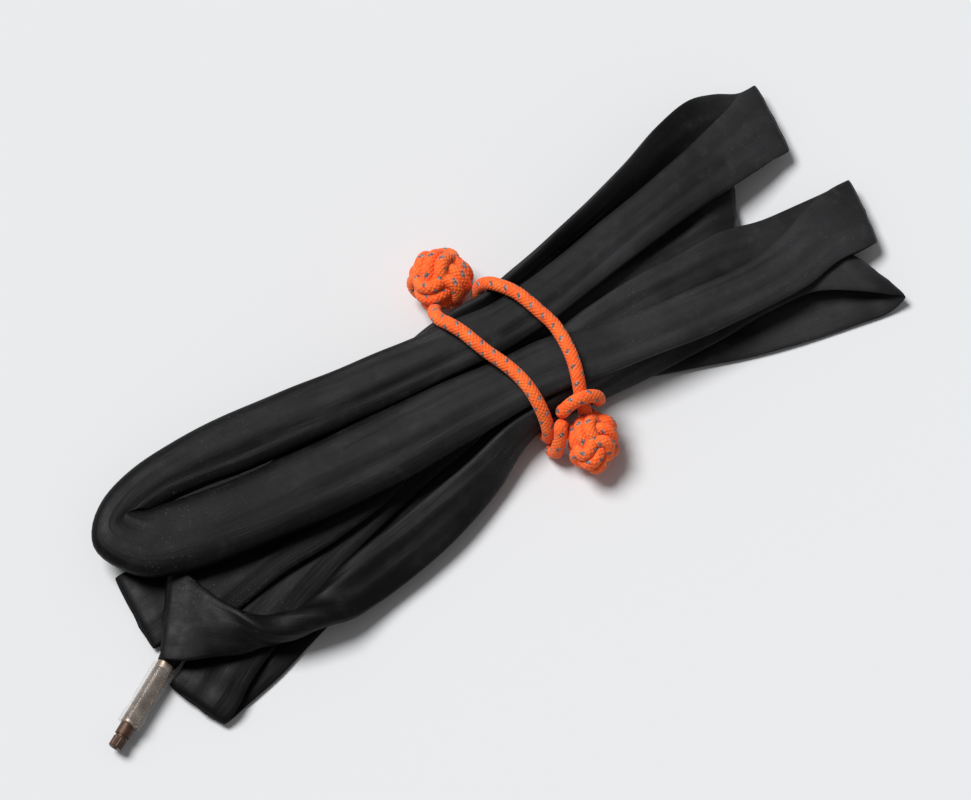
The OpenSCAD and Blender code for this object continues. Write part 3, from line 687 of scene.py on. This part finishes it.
# ---------- cord ----------
BRAID_CELLS = 8  # round the cord
BRAID_PITCH = 1.3  # length of one cell along the cord
BRAID_DEPTH = 0.09
FLECK_REPEAT = 4  # cells from one fleck to the next
CORD_SIDES = 32
STEPS_PER_CELL = 4
CORD_STEP = BRAID_PITCH / STEPS_PER_CELL
CORD_FLOOR_GAP = 0.03


def even_route(points, closed):
    """The route at an even step, and its unit direction at each point."""
    if closed:
        points = resample(np.vstack([points, points[:1]]), CORD_STEP)[:-1]
        way = np.roll(points, -1, axis=0) - np.roll(points, 1, axis=0)
    else:
        points = resample(points, CORD_STEP)
        way = np.gradient(points, axis=0)
    return points, way / np.linalg.norm(way, axis=1)[:, None]


def carried_axes(way):
    """Two axes across the route at each point, carried along it without twisting."""
    side = np.empty_like(way)
    guide = np.array([0.3, 0.2, 1.0]) if abs(way[0][2]) < 0.8 else np.array([1.0, 0.2, 0.1])
    side[0] = unit(np.cross(way[0], guide))
    for i in range(1, len(way)):
        side[i] = unit(side[i - 1] - way[i] * np.dot(side[i - 1], way[i]))
    return side, np.cross(way, side)


def cord_mesh(name, points, closed=False, radius=CORD_D / 2):
    """A braided cord along points: its crossing strands stand up as rows of small diamonds."""
    points, way = even_route(np.asarray(points, float), closed)
    n = len(points)
    side, other = carried_axes(way)
    turn = np.zeros(n)
    if closed:
        back = side[-1] - way[0] * np.dot(side[-1], way[0])
        twist = math.atan2(np.dot(back, other[0]), np.dot(back, side[0]))
        turn = -twist * np.arange(n) / n
    angle = 2 * math.pi * np.arange(CORD_SIDES) / CORD_SIDES
    cells = n / STEPS_PER_CELL
    if closed:
        cells = max(1, int(round(cells / FLECK_REPEAT))) * FLECK_REPEAT
    u = np.arange(n + 1) * cells / n
    first = BRAID_CELLS * angle[None, :] / (2 * math.pi) + u[:n, None]
    second = BRAID_CELLS * angle[None, :] / (2 * math.pi) - u[:n, None]
    pillow = np.abs(np.sin(math.pi * first) * np.sin(math.pi * second))
    reach = radius - BRAID_DEPTH + BRAID_DEPTH * pillow
    spin = angle[None, :] + turn[:, None]
    skin = (
        points[:, None, :]
        + (reach * np.cos(spin))[..., None] * side[:, None, :]
        + (reach * np.sin(spin))[..., None] * other[:, None, :]
    )
    skin = skin + MIDDLE
    skin[..., 2] = np.maximum(skin[..., 2], CORD_FLOOR_GAP)
    v = np.arange(CORD_SIDES + 1) / CORD_SIDES
    return grid_mesh(name, skin, closed, u, v, caps=not closed)


ROUTE_STEP = 1.0


def make_tie(material):
    route = hermite(TIE, ROUTE_STEP)[0]
    tie = add_object("tie_loop", cord_mesh("tie_loop", route), material)
    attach(tie, "bundle")
    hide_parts("tie_cord")
    return tie, (route + MIDDLE) * MM


def make_wraps(material):
    for name, rows in (("hitch_turn_upper", WRAP_UPPER), ("hitch_turn_lower", WRAP_LOWER)):
        turn = add_object(name, cord_mesh(name, hermite(rows, ROUTE_STEP)[0]), material)
        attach(turn, "bundle")
        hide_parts(name.replace("turn", "wrap"))


KNOT_STEPS = 160
KNOT_BULGE = 0.85  # how far the outer turns of a band come in with the ball's roundness
UNDER_DEPTH = 0.75  # how far a turn dives under the next band, in cord diameters
CORE_DEPTH = 0.42  # the core's skin lies this many cord diameters below the turns' middle


def fist_axes(first_angle, tip_right, tip_up):
    """The knot's three axes: they lean alike towards the viewer and are 120 degrees apart."""
    back = unit(BACK + RIGHT * tip_right + UP * tip_up)
    right = unit(RIGHT - back * np.dot(RIGHT, back))
    up = np.cross(back, right)
    axes = []
    for k in range(3):
        angle = math.radians(first_angle + 120 * k)
        out = right * math.cos(angle) + up * math.sin(angle)
        axes.append(back / math.sqrt(3) + out * math.sqrt(2 / 3))
    return axes


def knot_core(name, centre, radius, stretch):
    """A plain ball inside a knot, so that no gap between its cords shows daylight."""
    rings, sides = 24, 32
    points = np.empty((rings, sides, 3))
    for i in range(rings):
        tilt = math.pi * (i + 0.5) / rings
        for k in range(sides):
            a = 2 * math.pi * k / sides
            way = np.array([math.sin(tilt) * math.cos(a), math.sin(tilt) * math.sin(a), math.cos(tilt)])
            points[i, k] = centre + stretched(way * radius, stretch) + MIDDLE
    u, v = np.arange(rings + 1), np.arange(sides + 1) / sides
    return grid_mesh(name, points, False, u, v, caps=True)


def stretched(offset, stretch):
    """An offset from a knot's middle, lengthened along the table away from the viewer."""
    return offset + AWAY * np.dot(offset, AWAY) * (stretch - 1.0)


def fist_knot(name, node, centre, diameter, stretch, turns, pitch, cord_d, first_angle, tip, material):
    """A ball knot of three bands of turns, each over the next and under the one after."""
    axes = fist_axes(first_angle, *tip)
    outer = diameter / 2 - cord_d / 2
    meshes = [knot_core(f"{name}_core", centre, outer - cord_d * CORE_DEPTH, stretch)]
    for k in range(3):
        axle, over, under = axes[k], axes[(k + 1) % 3], axes[(k + 2) % 3]
        for t in range(turns):
            off = (t - (turns - 1) / 2) * pitch
            high = math.sqrt(outer**2 - KNOT_BULGE * off**2)
            low = high - cord_d * UNDER_DEPTH
            ring = []
            for i in range(KNOT_STEPS):
                a = 2 * math.pi * i / KNOT_STEPS
                x = high * signed_power(math.cos(a), 0.9)
                y = low * signed_power(math.sin(a), 0.84)
                along = axle * off * (1 - 0.06 * math.cos(a) ** 2)
                ring.append(centre + stretched(along + over * x + under * y, stretch))
            meshes.append(cord_mesh(f"{name}_{k}_{t}", ring, closed=True, radius=cord_d / 2))
    knot = joined(name, meshes, material)
    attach(knot, "bundle")
    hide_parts(node)
    return knot


# ---------- the valve ----------
def valve_frame():
    """Places a mesh made along +Z onto the valve's axis, in metres."""
    turn = Matrix.Rotation(VALVE_AZ, 4, "Z") @ Matrix.Rotation(math.pi / 2, 4, "Y")
    return Matrix.Translation(Vector((VALVE_AT + MIDDLE) * MM)) @ turn


def make_nut(material):
    """The knurled lock nut: straight knurls round it, chamfers and a bore for the pin."""
    knurls, sides, knurl_depth = 20, 80, 0.12
    bore_r, chamfer = PIN_R + 0.05, 0.25
    profile = [
        (bore_r, 0.0), (NUT_R - chamfer, 0.0), (NUT_R, chamfer),
        (NUT_R, NUT_H - chamfer), (NUT_R - chamfer, NUT_H), (bore_r, NUT_H),
    ]
    knurled = (2, 3)  # the profile's two outermost points
    points = np.empty((len(profile), sides, 3))
    for i, (r, z) in enumerate(profile):
        for k in range(sides):
            a = 2 * math.pi * k / sides
            cut = knurl_depth * (0.5 - 0.5 * math.cos(knurls * a)) if i in knurled else 0.0
            points[i, k] = ((r - cut) * math.cos(a), (r - cut) * math.sin(a), z + NUT_FROM)
    u, v = np.arange(len(profile) + 1), np.arange(sides + 1) / sides
    mesh = grid_mesh("knurled_nut", points, True, u, v)
    mesh.transform(valve_frame())
    mesh.flip_normals()
    nut = add_object("knurled_nut", mesh, material)
    for poly in nut.data.polygons:
        poly.use_smooth = False
    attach(nut, "lock_nut")
    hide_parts("lock_nut")


def paint(node, material):
    """Gives a carried-over CAD node its material."""
    mesh = NODES[node].data
    mesh.materials.clear()
    mesh.materials.append(material)


# ---------- stage ----------
SENSOR_W = 36.0
FLOOR_HALF = 4.0
SKY_LIGHT = 0.205
SUN_LIGHT = 3.56
SUN_SOFTNESS = 26
SUN_WAY = -RIGHT * 0.44 + AWAY * 0.31 + np.array([0, 0, 0.9])


def make_camera():
    data = bpy.data.cameras.new("camera")
    data.lens = PIXELS_PER_MM * VIEW_DISTANCE / IMAGE_W * SENSOR_W
    data.clip_end = 20.0
    camera = bpy.data.objects.new("camera", data)
    bpy.context.scene.collection.objects.link(camera)
    place = Matrix.Translation(Vector((AIM + BACK * VIEW_DISTANCE) * MM))
    turn = Matrix(np.column_stack([RIGHT, UP, BACK]).tolist()).to_4x4()
    camera.matrix_world = place @ turn
    bpy.context.scene.camera = camera


def make_sun(direction, strength, softness):
    """An even light from one direction, wide enough to give soft shadows."""
    data = bpy.data.lights.new("window", "SUN")
    data.energy = strength
    data.angle = math.radians(softness)
    light = bpy.data.objects.new("window", data)
    bpy.context.scene.collection.objects.link(light)
    light.rotation_euler = (-Vector(direction)).to_track_quat("-Z", "Y").to_euler()


def make_stage():
    mesh = bpy.data.meshes.new("floor")
    signs = ((-1, -1), (1, -1), (1, 1), (-1, 1))
    corners = [(x * FLOOR_HALF, y * FLOOR_HALF, 0) for x, y in signs]
    mesh.from_pydata(corners, [], [(0, 1, 2, 3)])
    floor = add_object("floor", mesh, floor_material())
    world = bpy.data.worlds.new("studio")
    world.use_nodes = True
    sky = world.node_tree.nodes["Background"]
    sky.inputs["Color"].default_value = (1.0, 1.0, 1.0, 1)
    sky.inputs["Strength"].default_value = SKY_LIGHT
    bpy.context.scene.world = world
    make_sun(SUN_WAY, SUN_LIGHT, SUN_SOFTNESS)
    bpy.context.scene.view_settings.view_transform = "Standard"


# ---------- everything together ----------
make_camera()
CORD = cord_material()
TIE_LOOP, TIE_ROUTE = make_tie(CORD)
make_wraps(CORD)
fist_knot(
    "upper_ball", "upper_ball_knot", UPPER_BALL, UPPER_BALL_D, stretch=1.0, turns=3, pitch=4.1,
    cord_d=4.6, first_angle=-4, tip=(0.1, 0.0), material=CORD,
)
FAR_KNOT = fist_knot(
    "lower_ball", "lower_ball_knot", LOWER_BALL, LOWER_BALL_D, stretch=LOWER_BALL_STRETCH, turns=3,
    pitch=3.5, cord_d=4.2, first_angle=22, tip=(0.05, 0.1), material=CORD,
)
RUBBER = rubber_material()
make_tube(RUBBER)
BRONZE = metal_material("dark_bronze", (0.1, 0.05, 0.028, 1), (0.055, 0.028, 0.017, 1), 0.45, 0.5)
STEEL = metal_material("plated_stem", (0.4, 0.32, 0.25, 1), (0.22, 0.165, 0.12, 1), 0.42, 0.9)
make_nut(BRONZE)
paint("valve_base", RUBBER)
paint("valve_stem", STEEL)
paint("valve_core", BRONZE)
paint("plunger_pin", BRONZE)
paint("core_gasket", plain_material("gasket", (0.85, 0.84, 0.8, 1), (0.7, 0.69, 0.66, 1), 0.6, 900))
SEAL_RUBBER = plain_material("seal_rubber", (0.03, 0.03, 0.03, 1), (0.015, 0.015, 0.015, 1), 0.6, 900)
paint("plunger_seal", SEAL_RUBBER)
paint("valve_sleeve", clear_material())
make_stage()
